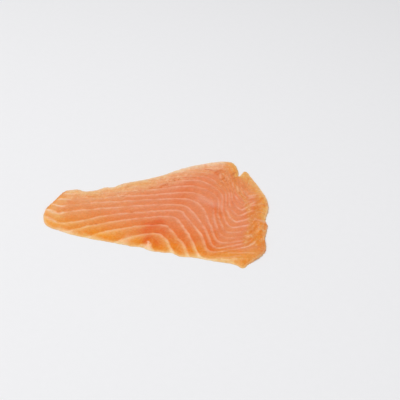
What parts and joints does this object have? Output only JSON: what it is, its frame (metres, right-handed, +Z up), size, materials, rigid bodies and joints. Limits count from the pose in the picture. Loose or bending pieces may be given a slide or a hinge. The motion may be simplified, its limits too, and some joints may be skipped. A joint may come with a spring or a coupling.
{
  "type": "slice of smoked salmon",
  "caption": "Thin slice of cold-smoked salmon lying flat, cut across the side of the fish, with curved fat lines, a feathered belly edge and a crinkled head rim.",
  "frame": {"origin": "on the flat underside, at the middle of the slice's length and width", "axes": "+X along the slice from the tail end to the head end, +Y from the belly edge to the back edge, +Z up"},
  "size_m": [0.1894, 0.1684, 0.0031],
  "materials": {
    "salmon_flesh": "moist, lightly oiled, slightly translucent orange flesh with pale fat lines"
  },
  "bodies": {
    "root": {"smoked_salmon_slice": "salmon_flesh"}
  },
  "joints": []
}
